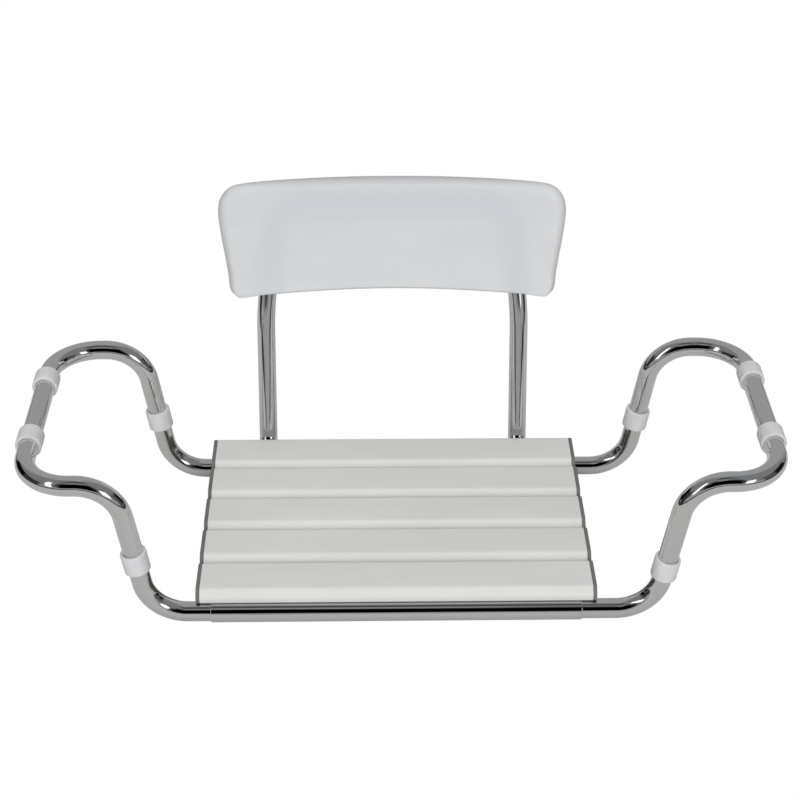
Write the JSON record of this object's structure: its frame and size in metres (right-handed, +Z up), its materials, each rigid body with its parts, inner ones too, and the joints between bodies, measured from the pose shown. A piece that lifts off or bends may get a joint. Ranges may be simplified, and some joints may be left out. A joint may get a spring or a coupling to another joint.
{
  "type": "bath transfer bench",
  "caption": "Bath transfer bench with a slatted plastic seat on a chromed tube frame, a curved backrest and sliding side arms that rest on the rim of a bath.",
  "frame": {"origin": "centre of the footprint, on the surface that the two sleeve tubes stand on", "axes": "+X to the sitter's left, along the seat's slats from one side arm to the other; -Y is the open front edge of the seat and +Y the backrest; +Z up"},
  "size_m": [0.7594, 0.4176, 0.3021],
  "materials": {
    "chrome_tube": "polished",
    "white_slat_plastic": "semi-gloss",
    "grey_plastic": "satin",
    "milky_plastic": "satin",
    "white_rubber": "satin",
    "zinc_screw": "satin"
  },
  "bodies": {
    "seat": {"Backrest_frame_tube": "chrome_tube", "Backrest_left_screw": "zinc_screw", "Backrest_pad": "milky_plastic", "Backrest_right_screw": "zinc_screw", "Front_left_lock_bolt": "zinc_screw", "Front_left_lock_nut": "zinc_screw", "Front_right_lock_bolt": "zinc_screw", "Front_right_lock_nut": "zinc_screw", "Front_sleeve_tube": "chrome_tube", "Left_bearer_tube": "chrome_tube", "Rear_left_lock_bolt": "zinc_screw", "Rear_left_lock_nut": "zinc_screw", "Rear_right_lock_bolt": "zinc_screw", "Rear_right_lock_nut": "zinc_screw", "Rear_sleeve_tube": "chrome_tube", "Right_bearer_tube": "chrome_tube", "Slat_1": "white_slat_plastic", "Slat_1_left_cap": "grey_plastic", "Slat_1_left_screw": "zinc_screw", "Slat_1_right_cap": "grey_plastic", "Slat_1_right_screw": "zinc_screw", "Slat_2": "white_slat_plastic", "Slat_2_left_cap": "grey_plastic", "Slat_2_left_screw": "zinc_screw", "Slat_2_right_cap": "grey_plastic", "Slat_2_right_screw": "zinc_screw", "Slat_3": "white_slat_plastic", "Slat_3_left_cap": "grey_plastic", "Slat_3_left_screw": "zinc_screw", "Slat_3_right_cap": "grey_plastic", "Slat_3_right_screw": "zinc_screw", "Slat_4": "white_slat_plastic", "Slat_4_left_cap": "grey_plastic", "Slat_4_left_screw": "zinc_screw", "Slat_4_right_cap": "grey_plastic", "Slat_4_right_screw": "zinc_screw", "Slat_5": "white_slat_plastic", "Slat_5_left_cap": "grey_plastic", "Slat_5_left_screw": "zinc_screw", "Slat_5_right_cap": "grey_plastic", "Slat_5_right_screw": "zinc_screw"},
    "left_arm": {"Left_arm_tube": "chrome_tube", "Left_front_leg_collar": "white_rubber", "Left_front_rail_collar": "white_rubber", "Left_rear_leg_collar": "white_rubber", "Left_rear_rail_collar": "white_rubber"},
    "right_arm": {"Right_arm_tube": "chrome_tube", "Right_front_leg_collar": "white_rubber", "Right_front_rail_collar": "white_rubber", "Right_rear_leg_collar": "white_rubber", "Right_rear_rail_collar": "white_rubber"}
  },
  "joints": [
    {"name": "left_arm_slide", "type": "slide", "parent": "seat", "child": "left_arm", "axis": [-1, 0, 0], "range_m": [-0.017, 0.05]},
    {"name": "right_arm_slide", "type": "slide", "parent": "seat", "child": "right_arm", "axis": [1, 0, 0], "range_m": [-0.028, 0.05]}
  ]
}
